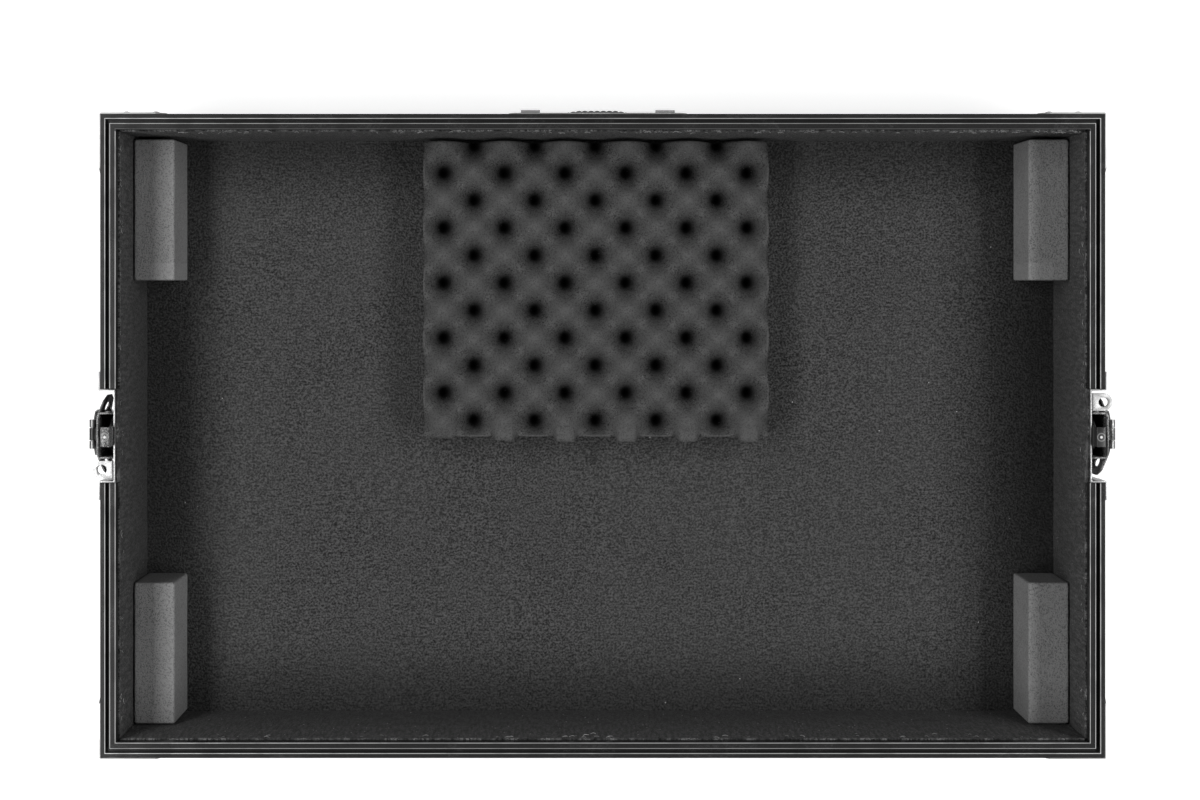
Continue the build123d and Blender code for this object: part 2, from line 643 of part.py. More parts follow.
def cage_rivets():
    """The short rivets that hold each latch cage to its dish."""
    foot = CAGE_HALF + CAGE_FOOT / 2
    found = [((DISH_X + SHEET, y, z), (1, 0, 0)) for y in (-foot, foot) for z in (RIM - 32, RIM - 22)]
    found += [((DISH_X + EYE_SHEET, EYE_Y, RIM - 8.0), (1, 0, 0))]
    return found + mirrored(found, -1, -1)


def write(name, shape):
    solids = shape if isinstance(shape, list) else shape.solids()
    export_step(solids[0] if len(solids) == 1 else Compound(children=solids), f"parts/{name}.step")


def main():
    os.makedirs("parts", exist_ok=True)
    nodes = {
        "floor_panel": floor_panel(),
        "front_panel": long_panel("front"),
        "rear_panel": rear_panel(),
        "left_panel": short_panel("left"),
        "right_panel": short_panel("right"),
        "floor_lining": floor_lining(),
        "wall_lining": wall_lining(),
        "egg_crate_pad": egg_crate_pad(),
        "handle_dish": handle_dish(),
    }
    nodes.update(rims())
    nodes.update({f"{side}_bottom_angle": bottom_angle(side) for side in SIDES})
    nodes.update({f"{name}_corner_angle": shape for name, shape in four(corner_angle()).items()})
    nodes.update({f"{name}_brace": shape for name, shape in four(brace()).items()})
    nodes.update({f"{name}_ball_corner": shape for name, shape in four(ball_corner()).items()})
    latch = {
        "latch_dish": latch_dish(),
        "padlock_eye": latch_eye(),
        "latch_cover": latch_cover(),
        "latch_cage": latch_cage(),
        "latch_cam": latch_cam(),
        "latch_wing": latch_wing(),
        "wing_pin": latch_wing_pin(),
        "latch_hook": latch_hook(),
    }
    for name, shape in latch.items():
        nodes[f"right_{name}"] = shape
        nodes[f"left_{name}"] = shape.rotate(Axis.Z, 180)

    long_places = long_rivets()
    short_places = cage_rivets()
    short = SHEET + DISH_SHEET
    holes = [shank(*place) for place in long_places] + [shank(*place, short) for place in short_places]
    drilled = ("panel", "angle", "brace", "ball", "dish", "cage", "eye", "rim")
    for name in nodes:
        riveted = any(word in name for word in drilled)
        if riveted and "cam" not in name:
            box = nodes[name].bounding_box()
            near = [h for h in holes if touches(box, h.bounding_box())]
            if near:
                nodes[name] = nodes[name] - near
    rubber, screws = feet()
    for place in screws:
        nodes["floor_panel"] -= place
    nodes["rivets"] = [rivet(*place) for place in long_places]
    nodes["rivets"] += [rivet(*place, short) for place in short_places]
    nodes["rubber_feet"] = rubber
    nodes["foot_screws"] = screws
    nodes["handle_springs"] = handle_springs()
    nodes["handle_bail"] = handle_bail()
    nodes["handle_grip"] = handle_grip() - nodes["handle_bail"]
    nodes.update(foam_blocks())
    for name, shape in nodes.items():
        write(name, shape)


def touches(a, b):
    """Whether two bounding boxes meet."""
    lows = ((a.min.X, b.max.X), (a.min.Y, b.max.Y), (a.min.Z, b.max.Z))
    highs = ((b.min.X, a.max.X), (b.min.Y, a.max.Y), (b.min.Z, a.max.Z))
    return all(low <= high for low, high in lows + highs)


main()
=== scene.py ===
import json
import math
import random

import bpy
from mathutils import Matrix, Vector, noise


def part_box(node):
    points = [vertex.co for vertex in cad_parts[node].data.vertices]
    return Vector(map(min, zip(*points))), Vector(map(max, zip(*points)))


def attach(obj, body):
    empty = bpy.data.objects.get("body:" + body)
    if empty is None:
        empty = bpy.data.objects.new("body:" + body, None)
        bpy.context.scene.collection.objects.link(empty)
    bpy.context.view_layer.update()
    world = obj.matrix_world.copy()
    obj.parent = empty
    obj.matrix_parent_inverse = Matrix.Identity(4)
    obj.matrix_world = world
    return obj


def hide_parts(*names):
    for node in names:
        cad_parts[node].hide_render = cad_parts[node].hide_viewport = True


# Looks of an open flight case base, seen from straight above. Metres, in the CAD frame.
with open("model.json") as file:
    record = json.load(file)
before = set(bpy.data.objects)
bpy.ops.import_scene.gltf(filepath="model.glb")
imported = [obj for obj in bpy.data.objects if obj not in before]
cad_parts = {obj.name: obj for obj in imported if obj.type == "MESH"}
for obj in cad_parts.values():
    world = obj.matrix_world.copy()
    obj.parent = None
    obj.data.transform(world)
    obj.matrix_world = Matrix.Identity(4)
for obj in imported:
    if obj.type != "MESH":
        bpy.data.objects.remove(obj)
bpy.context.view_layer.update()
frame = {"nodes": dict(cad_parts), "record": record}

# Places that the CAD gives
RIM_Z = 0.122
LINING_Z = 0.022
HALF_X = 0.360
HALF_Y = 0.23075
TRAY_X = 0.34795
TRAY_Y = 0.2187
WALL_FELT_TOP = 0.1128
RECESS_WIDTH = 0.0670
DISH_BACK_X = 0.34893
BRACE_TOP = 0.1205
HOOK_TOP = (0.3538, 0.0, 0.134)
HANDLE_X = -0.003
PIVOT_Y = 0.2307
PIVOT_Z = 0.0834
GRIP_Z = 0.0584
GRIP_HALF = 0.0285
SPRING_MIDDLE = 0.0495

# The foam's convolution
PEAK_PITCH = (0.0459, 0.04175)
PEAK_FIRST = (-0.1187, 0.0056)
PIT_FLOOR = 0.0070
PAD_RISE = 0.0322
PEAK_SHARPNESS = 0.5

# Bright lines round the rim, partly scuffed anodising and partly painted highlight, in millimetres from the
# case's outer faces
GROOVE_LIPS = (3.4, 6.9)
LIP_WEAR_AND_GLINT = 0.4
INNER_EDGE = 10.95
INNER_WEAR_AND_GLINT = 0.55

# Marks on the foam blocks
PATCH_MIDDLE = (0.326, 0.1178)
ROUND_MARK_AT = (0.3285, -0.133, 0.072)
ROUND_MARK_RADIUS = 0.0036

# Felt and lint
SHADOW = 0.0015
WALL_PITCH = 0.0026
FELT_THICKNESS = 0.0015
LINT_COUNT = 230

# The handle's springs and grip
SPRING_WIRE = 0.00075
SPRING_RADIUS = 0.0040
SPRING_TURNS = 4
SPRING_PITCH = 0.00155
SLEEVE_RADIUS = 0.005
GRIP_THICK = 0.0080
GRIP_TAPER = 0.0029
RIB_DEPTH = 0.0007
RIB_PITCH = 0.0046

CAMERA_AT = (-0.0249, 0.1067, 1.492)
CAMERA_LENS = 57.4
CAMERA_SHIFT = (0.0267, -0.0942)
SOFTBOX_SIZE = (1.9, 0.42)


# Mesh tools
def focus(piece):
    """Make one piece active and select nothing else."""
    bpy.ops.object.select_all(action="DESELECT")
    bpy.context.view_layer.objects.active = piece
    piece.select_set(True)


def settle(piece):
    """Move a piece's place and size into its mesh."""
    focus(piece)
    bpy.ops.object.transform_apply(location=True, rotation=True, scale=True)


def enter_edit():
    bpy.ops.object.mode_set(mode="EDIT")


def leave_edit():
    bpy.ops.object.mode_set(mode="OBJECT")


def pick(piece, mode, wanted):
    """Go to edit mode with only the faces, edges or vertices selected that pass a test."""
    focus(piece)
    bpy.context.tool_settings.mesh_select_mode = tuple(mode == kind for kind in ("VERT", "EDGE", "FACE"))
    mesh = piece.data
    for group in (mesh.vertices, mesh.edges, mesh.polygons):
        group.foreach_set("select", [False] * len(group))
    items = {"VERT": mesh.vertices, "EDGE": mesh.edges, "FACE": mesh.polygons}[mode]
    for item in items:
        item.select = wanted(item)
    enter_edit()


def face_outwards():
    """Turn every face of the piece in edit mode outwards, and leave edit mode."""
    bpy.ops.mesh.select_all(action="SELECT")
    bpy.ops.mesh.normals_make_consistent(inside=False)
    leave_edit()


def cut_across(piece, cuts):
    """Cut the edges that run from one side of X = 0 to the other."""
    vertices = piece.data.vertices
    pick(piece, "EDGE", lambda edge: vertices[edge.vertices[0]].co.x * vertices[edge.vertices[1]].co.x < 0)
    bpy.ops.mesh.subdivide(number_cuts=cuts)
    leave_edit()


def apply_modifier(piece, kind, **settings):
    """Add a modifier with the given settings and apply it."""
    focus(piece)
    modifier = piece.modifiers.new(kind.title(), kind)
    for name, value in settings.items():
        setattr(modifier, name, value)
    bpy.ops.object.modifier_apply(modifier=modifier.name)


def bevel_sharp(piece, width, segments, least_angle):
    """Round the edges that are sharper than an angle in degrees."""
    angle = math.radians(least_angle)
    apply_modifier(piece, "BEVEL", width=width, segments=segments, limit_method="ANGLE", angle_limit=angle)


def smooth_below(angle):
    """Shade the active piece smooth, apart from edges sharper than an angle in degrees."""
    bpy.ops.object.shade_smooth_by_angle(angle=math.radians(angle))


def moved(piece, offset):
    """Move each vertex by what a function of its place gives."""
    for vertex in piece.data.vertices:
        vertex.co += Vector(offset(vertex.co))
    piece.data.update()


def roughness_at(place, size, seed=0.0):
    """Smooth noise between -1 and 1 with features of the given size."""
    return noise.noise(Vector(place) / size + Vector((seed, 0.37 * seed, -seed)))


def dressed(piece, name, body, slot, material, *nodes):
    """Name a finished piece, give it its material and body, and let it stand for CAD nodes."""
    piece.name = name
    piece.data.name = name
    piece.data.materials.clear()
    piece.data.materials.append(material)
    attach(piece, body)
    if nodes:
        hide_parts(*nodes)
    return piece


def joined(pieces):
    """Several pieces made one."""
    focus(pieces[0])
    for piece in pieces:
        piece.select_set(True)
    bpy.ops.object.join()
    return bpy.context.active_object


def grid_slab(low, high, pitch):
    """A closed slab between two corners whose top is a grid of about the given pitch."""
    size = [b - a for a, b in zip(low, high)]
    counts = [max(1, round(size[axis] / pitch)) for axis in (0, 1)]
    bpy.ops.mesh.primitive_grid_add(x_subdivisions=counts[0], y_subdivisions=counts[1], size=1)
    slab = bpy.context.active_object
    slab.scale = (size[0], size[1], 1)
    slab.location = ((low[0] + high[0]) / 2, (low[1] + high[1]) / 2, low[2])
    settle(slab)
    pick(slab, "FACE", lambda face: True)
    bpy.ops.mesh.extrude_region_move(TRANSFORM_OT_translate={"value": (0, 0, size[2])})
    face_outwards()
    return slab


# Shader tools
def add(tree, kind, inputs=None, **settings):
    """Add a shader node, set it up, and join or set the inputs named or numbered."""
    item = tree.nodes.new("ShaderNode" + kind)
    for name, value in settings.items():
        setattr(item, name, value)
    for name, value in (inputs or {}).items():
        if isinstance(value, bpy.types.NodeSocket):
            tree.links.new(value, item.inputs[name])
        else:
            item.inputs[name].default_value = value
    return item


def sums(tree, operation, *values):
    """A Math node on up to three values."""
    item = add(tree, "Math", dict(enumerate(values)), operation=operation)
    return item.outputs[0]


def chain(tree, operation, first, *others):
    """One Math operation over any number of values, such as their product or their largest."""
    result = first
    for value in others:
        result = sums(tree, operation, result, value)
    return result


def off_from(tree, value, middle):
    """How far a value lies from a middle one."""
    return sums(tree, "ABSOLUTE", sums(tree, "SUBTRACT", value, middle))


def spread(tree, value, low, high, to_low=0.0, to_high=1.0):
    """Map a value between two limits to a smooth step between two others."""
    inputs = {"Value": value, "From Min": low, "From Max": high, "To Min": to_low, "To Max": to_high}
    return add(tree, "MapRange", inputs, interpolation_type="SMOOTHSTEP").outputs[0]


def mixed(tree, share, first, second):
    """A colour between two, by a share."""
    item = add(tree, "Mix", data_type="RGBA")
    for socket, value in zip((item.inputs[0], item.inputs[6], item.inputs[7]), (share, first, second)):
        if isinstance(value, bpy.types.NodeSocket):
            tree.links.new(value, socket)
        else:
            socket.default_value = value
    return item.outputs[2]


def group_of(name, inputs, outputs):
    """A new shader group with float inputs and outputs."""
    group = bpy.data.node_groups.new(name, "ShaderNodeTree")
    for way, labels in (("INPUT", inputs), ("OUTPUT", outputs)):
        for label in labels:
            group.interface.new_socket(label, in_out=way, socket_type="NodeSocketFloat")
    entry = group.nodes.new("NodeGroupInput")
    leave = group.nodes.new("NodeGroupOutput")
    return group, entry.outputs, leave.inputs


def place_group(tree, group, **inputs):
    """Put a group in a tree with its inputs set, and give its outputs."""
    item = tree.nodes.new("ShaderNodeGroup")
    item.node_tree = group
    for name, value in inputs.items():
        item.inputs[name.replace("_", " ")].default_value = value
    return item.outputs


def object_place(tree):
    """The shaded point in the object's own frame."""
    return add(tree, "TexCoord").outputs["Object"]


def axes_of(tree, vector):
    """The X, Y and Z of a vector."""
    return add(tree, "SeparateXYZ", {0: vector}).outputs


def distance_to(tree, vector, point):
    """How far a vector's end lies from a point."""
    return add(tree, "VectorMath", {0: vector, 1: point}, operation="DISTANCE").outputs["Value"]


def grain_group():
    """Fine grain with a slower mottle over it, both from 0 to 1."""
    group, given, made = group_of("Grain", ("Size", "Mottle Size"), ("Grain", "Mottle"))
    place = object_place(group)
    fine = add(group, "TexNoise", {"Vector": place, "Scale": given["Size"], "Detail": 3.0, "Roughness": 0.7})
    slow = add(group, "TexNoise", {"Vector": place, "Scale": given["Mottle Size"], "Detail": 2.0})
    group.links.new(spread(group, fine.outputs[0], 0.3, 0.7), made["Grain"])
    group.links.new(spread(group, slow.outputs[0], 0.3, 0.7), made["Mottle"])
    return group


def specks_group():
    """Sparse specks, more of them at a larger amount."""
    group, given, made = group_of("Specks", ("Size", "Amount"), ("Specks",))
    cells = add(group, "TexVoronoi", {"Vector": object_place(group), "Scale": given["Size"]})
    dots = spread(group, cells.outputs["Distance"], 0.28, 0.12)
    lot = add(group, "SeparateColor", {0: cells.outputs["Color"]}).outputs[0]
    chosen = sums(group, "LESS_THAN", lot, given["Amount"])
    group.links.new(sums(group, "MULTIPLY", dots, chosen), made["Specks"])
    return group


def scratches_group():
    """Thin scratches in two directions, broken up into patches."""
    group, given, made = group_of("Scratches", ("Size", "Amount"), ("Scratches",))
    place = object_place(group)
    masks = []
    for turn in (0.5, -1.1):
        spun = add(group, "VectorRotate", {"Vector": place, "Axis": (0.4, 0.3, 0.87), "Angle": turn})
        flat = add(group, "Mapping", {"Vector": spun.outputs[0], "Scale": (1.0, 14.0, 6.0)})
        lines = add(group, "TexNoise", {"Vector": flat.outputs[0], "Scale": given["Size"], "Detail": 4.0})
        masks.append(spread(group, off_from(group, lines.outputs[0], 0.5), 0.018, 0.004))
    patches = add(group, "TexNoise", {"Vector": place, "Scale": 22.0, "Detail": 1.0})
    wanted = sums(group, "LESS_THAN", spread(group, patches.outputs[0], 0.3, 0.7), given["Amount"])
    either = sums(group, "MAXIMUM", *masks)
    group.links.new(sums(group, "MULTIPLY", either, wanted), made["Scratches"])
    return group


def inset_group():
    """How far a point of the case lies in from its outer faces, and its height, in millimetres."""
    group, _, made = group_of("Inset", (), ("Inset", "Height"))
    axes = axes_of(group, object_place(group))
    insets = []
    for axis, half in ((0, HALF_X), (1, HALF_Y)):
        insets.append(sums(group, "SUBTRACT", half, sums(group, "ABSOLUTE", axes[axis])))
    inset = sums(group, "MINIMUM", *insets)
    group.links.new(sums(group, "MULTIPLY", inset, 1000.0), made["Inset"])
    group.links.new(sums(group, "MULTIPLY", axes[2], 1000.0), made["Height"])
    return group


def steel_highlight_group():
    """Painted highlights: a bright spot in a faint ring on the top of each latch hook, and a pale band along
    the braces' top edges.
    """
    group, _, made = group_of("Steel highlights", (), ("Highlight",))
    axes = axes_of(group, object_place(group))
    out = sums(group, "ABSOLUTE", axes[0])
    folded = add(group, "CombineXYZ", {0: out, 1: axes[1], 2: axes[2]}).outputs[0]
    reach = distance_to(group, folded, HOOK_TOP)
    # painted highlight: a bright spot and a faint ring on each hook's top
    spot = spread(group, reach, 0.0012, 0.0007, 0.0, 0.8)
    ring = spread(group, off_from(group, reach, 0.0027), 0.0005, 0.0002, 0.0, 0.2)
    corner = spread(group, sums(group, "ABSOLUTE", axes[1]), 0.17, 0.175)
    # painted highlight: a pale band along the braces' top edges at the corners
    edge = spread(group, axes[2], BRACE_TOP - 0.0005, BRACE_TOP - 0.0002, 0.0, 0.42)
    braces = sums(group, "MULTIPLY", edge, corner)
    group.links.new(chain(group, "MAXIMUM", spot, ring, braces), made["Highlight"])
    return group


GRAIN = grain_group()
STEEL_HIGHLIGHTS = steel_highlight_group()
SPECKS = specks_group()
SCRATCHES = scratches_group()
INSET = inset_group()


def grey(value):
    return (value, value, value, 1.0)


def new_material(name, roughness, metallic=0.0):
    """A material with its tree and its Principled shader."""
    material = bpy.data.materials.new(name)
    material.use_nodes = True
    tree = material.node_tree
    shader = tree.nodes["Principled BSDF"]
    shader.inputs["Roughness"].default_value = roughness
    shader.inputs["Metallic"].default_value = metallic
    return material, tree, shader


def bumped(tree, shader, height, strength, distance):
    """Feed a bump of a height from 0 to 1 to the shader."""
    inputs = {"Height": height, "Strength": strength, "Distance": distance}
    tree.links.new(add(tree, "Bump", inputs).outputs[0], shader.inputs["Normal"])


def rim_lines(tree, inset):
    """The bright lines round the rim, partly scuffed anodising and partly painted highlight: both lips of
    the groove, and the inner edge except at the rear, which is left dim as no light falls there.
    """
    # painted highlight, partly scuffed anodising, on the groove's lips and the inner edge
    lips = [spread(tree, off_from(tree, inset, lip), LIP_WEAR_AND_GLINT, LIP_WEAR_AND_GLINT * 0.3) for lip in GROOVE_LIPS]
    inner = spread(tree, off_from(tree, inset, INNER_EDGE), INNER_WEAR_AND_GLINT, INNER_WEAR_AND_GLINT * 0.3)
    along = axes_of(tree, object_place(tree))[1]
    # the rear inner edge is kept dim because no light falls on it
    unlit = spread(tree, along, TRAY_Y - 0.0007, TRAY_Y - 0.0002, 1.0, 0.15)
    return chain(tree, "MAXIMUM", *lips, sums(tree, "MULTIPLY", inner, unlit))


def black_extrusion():
    """Black anodised aluminium, bright along the lips and the inner edge of the rim: partly scuffed
    anodising, partly painted highlight.
    """
    material, tree, shader = new_material("black_extrusion", 0.2)
    shader.inputs["Specular IOR Level"].default_value = 0.14
    where = place_group(tree, INSET)
    grain = place_group(tree, GRAIN, Size=900.0, Mottle_Size=60.0)
    scratches = place_group(tree, SCRATCHES, Size=50.0, Amount=0.25)
    top = spread(tree, where["Height"], 121.2, 121.8)
    broken = spread(tree, grain["Mottle"], 0.0, 0.7, 0.7, 1.0)
    # partly scuffed anodising and partly painted highlight
    worn_and_highlit = chain(tree, "MULTIPLY", rim_lines(tree, where["Inset"]), top, broken)
    bare_and_highlit = sums(tree, "MAXIMUM", worn_and_highlit, sums(tree, "MULTIPLY", scratches["Scratches"], 0.05))
    black = mixed(tree, grain["Grain"], grey(0.013), grey(0.02))
    tree.links.new(mixed(tree, bare_and_highlit, black, grey(0.4)), shader.inputs["Base Color"])
    tree.links.new(sums(tree, "MULTIPLY", bare_and_highlit, 0.6), shader.inputs["Metallic"])
    gloss = spread(tree, grain["Mottle"], 0.0, 1.0, 0.18, 0.24)
    tree.links.new(mixed(tree, bare_and_highlit, gloss, grey(0.45)), shader.inputs["Roughness"])
    bumped(tree, shader, grain["Grain"], 0.05, 0.0002)
    return material


def laminate():
    """Black laminate on plywood, with a pebbled face and a few faint scuffs."""
    material, tree, shader = new_material("laminate", 0.5)
    shader.inputs["Specular IOR Level"].default_value = 0.3
    grain = place_group(tree, GRAIN, Size=700.0, Mottle_Size=9.0)
    scratches = place_group(tree, SCRATCHES, Size=24.0, Amount=0.2)
    cells = add(tree, "TexVoronoi", {"Vector": object_place(tree), "Scale": 620.0}, feature="SMOOTH_F1")
    base = mixed(tree, grain["Mottle"], grey(0.011), grey(0.015))
    scuffed = sums(tree, "MULTIPLY", scratches["Scratches"], 0.05)
    tree.links.new(mixed(tree, scuffed, base, grey(0.16)), shader.inputs["Base Color"])
    tree.links.new(spread(tree, grain["Mottle"], 0.0, 1.0, 0.46, 0.52), shader.inputs["Roughness"])
    bumped(tree, shader, cells.outputs[0], 0.5, 0.0006)
    return material


def floor_painted_shade(tree, colour):
    """Painted shade: the floor felt is darker along the walls, most of all along the right one."""
    across = axes_of(tree, object_place(tree))[0]
    # painted shade: darker near the walls, fading out by 70 mm in from the case's outer faces
    around = spread(tree, place_group(tree, INSET)["Inset"], 14.0, 70.0, 0.62, 1.0)
    # painted shade: darker still towards the right wall
    right = spread(tree, across, 0.352, 0.285, 0.5, 1.0)
    return mixed(tree, sums(tree, "MULTIPLY", around, right), grey(SHADOW), colour)


def wall_streaks_and_painted_light(tree, colour):
    """The wall felt is streaked upright; its darkening towards the floor is painted shade, and the pale band
    along its frayed top edge is a painted highlight.
    """
    height = place_group(tree, INSET)["Height"]
    frays = place_group(tree, GRAIN, Size=650.0, Mottle_Size=90.0)
    upright = add(tree, "Mapping", {"Vector": object_place(tree), "Scale": (1.0, 1.0, 0.2)})
    streaks = add(tree, "TexNoise", {"Vector": upright.outputs[0], "Scale": 420.0, "Detail": 2.0})
    streaked = mixed(tree, spread(tree, streaks.outputs[0], 0.34, 0.66, 0.35, 1.0), grey(SHADOW), colour)
    # painted shade: darker towards the floor
    shaded = mixed(tree, spread(tree, height, 22.0, 118.0, 0.3, 1.0), grey(SHADOW), streaked)
    # painted highlight: a pale band along the top edge, broken up by noise
    edge = spread(tree, height, 108.5, 112.3)
    pale = [spread(tree, frays[name], 0.2, 0.9) for name in ("Mottle", "Grain")]
    return mixed(tree, chain(tree, "MULTIPLY", edge, *pale), shaded, grey(0.22))


def lint_wear(tree, colour):
    """Loose fibres keep their own colour."""
    return colour


def felt(name, dark, light, linted, painted_light_and_streaks):
    """Needled felt: matted tufts, a faint rib along X, bits of lint, and its own painted light and streaks.
    """
    material, tree, shader = new_material(name, 0.95)
    shader.inputs["Sheen Weight"].default_value = 0.08
    shader.inputs["Sheen Roughness"].default_value = 0.6
    shader.inputs["Specular IOR Level"].default_value = 0.08
    place = object_place(tree)
    grain = place_group(tree, GRAIN, Size=900.0, Mottle_Size=14.0)
    matted = add(tree, "TexNoise", {"Vector": place, "Scale": 640.0, "Detail": 2.0})
    long_way = add(tree, "Mapping", {"Vector": place, "Scale": (0.22, 1.0, 1.0)})
    fibres = add(tree, "TexNoise", {"Vector": long_way.outputs[0], "Scale": 700.0, "Detail": 2.0})
    lines = sums(tree, "MULTIPLY", spread(tree, fibres.outputs[0], 0.38, 0.62), 0.2)
    tufts = sums(tree, "MULTIPLY", spread(tree, matted.outputs[0], 0.34, 0.66), 0.6)
    height = sums(tree, "MULTIPLY_ADD", grain["Grain"], 0.2, sums(tree, "ADD", lines, tufts))
    base = mixed(tree, height, grey(dark), grey(light))
    cloth = mixed(tree, sums(tree, "MULTIPLY", grain["Mottle"], 0.15), base, grey(light * 0.8))
    bits = place_group(tree, SPECKS, Size=420.0, Amount=linted)
    # the last step paints shade on the floor felt, and streaks, shade and a highlight on the wall felt
    tree.links.new(mixed(tree, bits["Specks"], painted_light_and_streaks(tree, cloth), grey(0.4)), shader.inputs["Base Color"])
    bumped(tree, shader, height, 0.9, 0.0012)
    return material


def foam(name, dark, light, marks_and_painted_light):
    """Open-cell foam: fine pores over a slow mottle, then a step of its own: real patches and scratches on
    the blocks, painted shade and highlight on the egg crate.
    """
    material, tree, shader = new_material(name, 0.97)
    shader.inputs["Specular IOR Level"].default_value = 0.08
    grain = place_group(tree, GRAIN, Size=620.0, Mottle_Size=40.0)
    pores = add(tree, "TexVoronoi", {"Vector": object_place(tree), "Scale": 900.0})
    cell = spread(tree, pores.outputs["Distance"], 0.1, 0.6)
    height = sums(tree, "MULTIPLY", sums(tree, "ADD", cell, grain["Grain"]), 0.5)
    base = mixed(tree, spread(tree, height, 0.25, 0.75), grey(dark), grey(light))
    mottled = mixed(tree, sums(tree, "MULTIPLY", grain["Mottle"], 0.3), base, grey(light))
    # real patches on the blocks; painted shade and highlight on the egg crate
    marked_and_painted_light = marks_and_painted_light(tree, mottled, dark, light)
    dust = place_group(tree, SPECKS, Size=700.0, Amount=0.03)
    faint = sums(tree, "MULTIPLY", dust["Specks"], 0.4)
    tree.links.new(mixed(tree, faint, marked_and_painted_light, grey(0.3)), shader.inputs["Base Color"])
    bumped(tree, shader, height, 0.6, 0.0006)
    return material


def pit_shade_and_peak_highlight(tree, colour, dark, light):
    """Painted shade and highlight: the egg crate is near-black in its pits and paler on its peaks, but not
    on its cut sides.
    """
    height = axes_of(tree, object_place(tree))[2]
    floor = LINING_Z + PIT_FLOOR
    # painted shade: near-black down in the pits
    pit = spread(tree, height, floor + 0.006, floor + 0.0215, 0.94, 0.0)
    # painted highlight: paler towards the peaks
    peak = spread(tree, height, floor + 0.018, floor + 0.030, 0.0, 0.4)
    upward = axes_of(tree, add(tree, "NewGeometry").outputs["Normal"])[2]
    inside = sums(tree, "MULTIPLY", pit, spread(tree, upward, 0.02, 0.1))
    peak_highlit = mixed(tree, peak, colour, grey(light * 1.3))
    return mixed(tree, inside, peak_highlit, grey(dark * 0.12))


def block_marks(tree, colour, dark, light):
    """Pressed patches on the rear blocks' ends, a round mark on a front one, and faint diagonals."""
    place = object_place(tree)
    axes = axes_of(tree, place)
    out = sums(tree, "ABSOLUTE", axes[0])
    across = spread(tree, off_from(tree, out, PATCH_MIDDLE[0]), 0.0095, 0.0085)
    along = spread(tree, off_from(tree, axes[1], PATCH_MIDDLE[1]), 0.0072, 0.0062)
    patch = chain(tree, "MULTIPLY", across, along, 0.3)
    reach = distance_to(tree, place, ROUND_MARK_AT)
    ring = spread(tree, off_from(tree, reach, ROUND_MARK_RADIUS), 0.0008, 0.0002)
    scratches = place_group(tree, SCRATCHES, Size=14.0, Amount=0.5)
    lines = sums(tree, "MULTIPLY", scratches["Scratches"], 0.22)
    paler = mixed(tree, sums(tree, "MAXIMUM", patch, lines), colour, grey(light * 1.4))
    return mixed(tree, sums(tree, "MULTIPLY", ring, 0.3), paler, grey(dark * 0.6))


def steel(name, value, roughness, metallic, scratched):
    """Plated or painted sheet steel with scratches, and painted highlights on the hooks' tops and the
    braces' top edges.
    """
    material, tree, shader = new_material(name, roughness, metallic)
    grain = place_group(tree, GRAIN, Size=1200.0, Mottle_Size=90.0)
    scratches = place_group(tree, SCRATCHES, Size=90.0, Amount=scratched)
    base = mixed(tree, grain["Mottle"], grey(value * 0.85), grey(value * 1.1))
    # painted highlights on the hooks and braces: pale, rougher and less metallic
    painted_highlights = place_group(tree, STEEL_HIGHLIGHTS)["Highlight"]
    worn_and_highlit = sums(tree, "MAXIMUM", sums(tree, "MULTIPLY", scratches["Scratches"], 0.5), painted_highlights)
    tree.links.new(mixed(tree, worn_and_highlit, base, grey(0.7)), shader.inputs["Base Color"])
    gloss = spread(tree, grain["Mottle"], 0.0, 1.0, roughness * 0.8, roughness * 1.25)
    tree.links.new(mixed(tree, painted_highlights, gloss, grey(0.62)), shader.inputs["Roughness"])
    tree.links.new(spread(tree, painted_highlights, 0.0, 1.0, metallic, metallic * 0.4), shader.inputs["Metallic"])
    bumped(tree, shader, grain["Grain"], 0.05, 0.0002)
    return material


def rubber(name, value):
    """Moulded rubber with a fine bloom."""
    material, tree, shader = new_material(name, 0.7)
    grain = place_group(tree, GRAIN, Size=1000.0, Mottle_Size=70.0)
    dust = place_group(tree, SPECKS, Size=900.0, Amount=0.06)
    base = mixed(tree, grain["Mottle"], grey(value), grey(value * 1.8))
    faint = sums(tree, "MULTIPLY", dust["Specks"], 0.3)
    tree.links.new(mixed(tree, faint, base, grey(0.25)), shader.inputs["Base Color"])
    bumped(tree, shader, grain["Grain"], 0.25, 0.0003)
    return material


MATERIALS = {
    "laminate": laminate(),
    "felt": felt("felt", dark=0.001, light=0.078, linted=0.001, painted_light_and_streaks=floor_painted_shade),
    "wall_felt": felt("wall_felt", dark=0.001, light=0.11, linted=0.03, painted_light_and_streaks=wall_streaks_and_painted_light),
    "lint": felt("lint", dark=0.25, light=0.6, linted=0.0, painted_light_and_streaks=lint_wear),
    "grey_foam": foam("grey_foam", dark=0.095, light=0.2, marks_and_painted_light=block_marks),
    "black_foam": foam("black_foam", dark=0.008, light=0.062, marks_and_painted_light=pit_shade_and_peak_highlight),
    "black_extrusion": black_extrusion(),
    "foot_rubber": rubber("foot_rubber", value=0.012),
    "grip_rubber": rubber("grip_rubber", value=0.016),
    "dark_steel": steel("dark_steel", value=0.02, roughness=0.3, metallic=0.0, scratched=0.3),
    "latch_steel": steel("latch_steel", value=0.2, roughness=0.36, metallic=1.0, scratched=0.4),
    "shaded_steel": steel("shaded_steel", value=0.05, roughness=0.45, metallic=1.0, scratched=0.3),
    "zinc_steel": steel("zinc_steel", value=0.25, roughness=0.42, metallic=1.0, scratched=0.4),
}

SLOTS = {row["node"]: row["material_slot"] for row in frame["record"]["subparts"]}
BODY_OF = {node: body for body, nodes in frame["record"]["behaviour"]["bodies"].items() for node in nodes}


